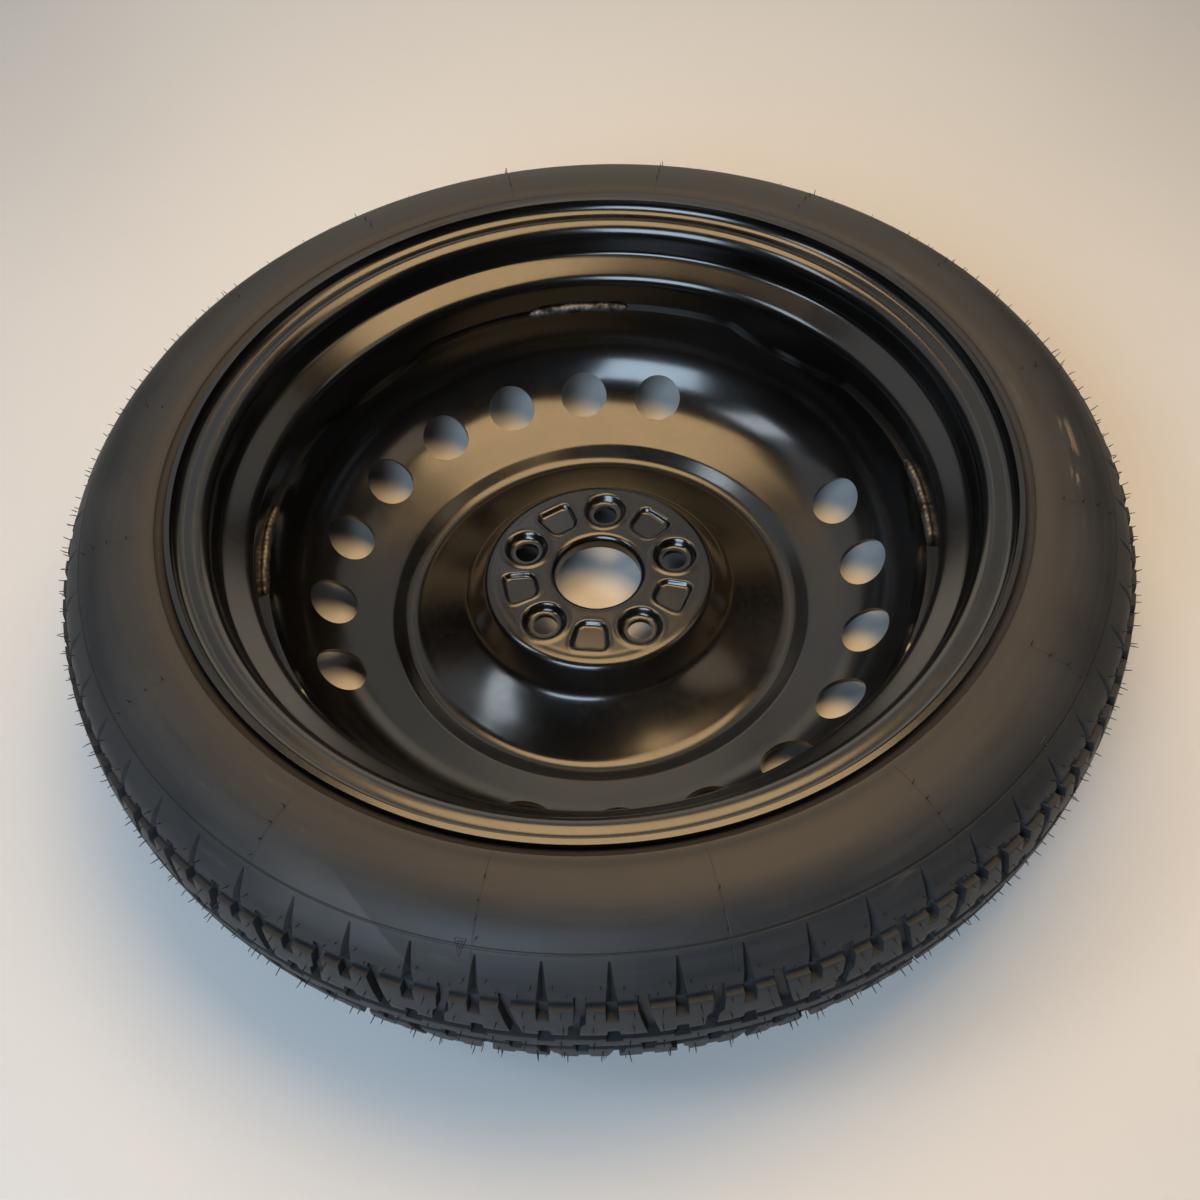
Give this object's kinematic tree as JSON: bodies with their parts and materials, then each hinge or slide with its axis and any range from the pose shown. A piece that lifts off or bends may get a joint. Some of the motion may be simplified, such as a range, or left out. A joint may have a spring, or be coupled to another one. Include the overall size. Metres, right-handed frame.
{
  "type": "temporary spare wheel",
  "caption": "Narrow temporary spare wheel: a black pressed-steel disc with vent holes, welded into a rolled drop-centre rim, with a slim tyre and a snap-in valve.",
  "frame": {"origin": "on the wheel's axis, on the surface that the wheel lies on, under the outboard side of its disc", "axes": "+Z along the wheel's axis towards the inboard side, which faces up; +Y away from the viewer; the valve is at 45.5 degrees from +X towards +Y"},
  "size_m": [0.607, 0.607, 0.1447],
  "materials": {
    "tyre_rubber": "matte moulded rubber",
    "wheel_paint": "satin black paint",
    "weld_metal": "rough weld under thin paint",
    "valve_rubber": "smooth moulded rubber",
    "valve_brass": "turned brass",
    "seal_rubber": "matte",
    "spring_steel": "drawn wire",
    "cap_plastic": "moulded black plastic"
  },
  "bodies": {
    "wheel": {"tyre": "tyre_rubber", "rim": "wheel_paint", "disc": "wheel_paint", "weld_beads": "weld_metal", "valve_rubber": "valve_rubber", "valve_stem": "valve_brass", "core_plug": "valve_brass", "core_barrel": "valve_brass", "core_gasket": "seal_rubber", "core_spring": "spring_steel"},
    "valve_pin": {"core_pin": "valve_brass", "core_seal": "seal_rubber", "core_cup": "valve_brass"},
    "valve_cap": {"valve_cap": "cap_plastic"}
  },
  "joints": [
    {"name": "pin_press", "type": "slide", "parent": "wheel", "child": "valve_pin", "axis": [0.3116, 0.3171, 0.8957], "range_m": [0, 0.0018], "stiffness_N_per_m": 1500, "springref_m": -0.002, "deforming": ["core_spring"]},
    {"name": "cap_pull", "type": "slide", "parent": "wheel", "child": "valve_cap", "axis": [-0.3116, -0.3171, -0.8957], "range_m": [0, 0.014]}
  ]
}
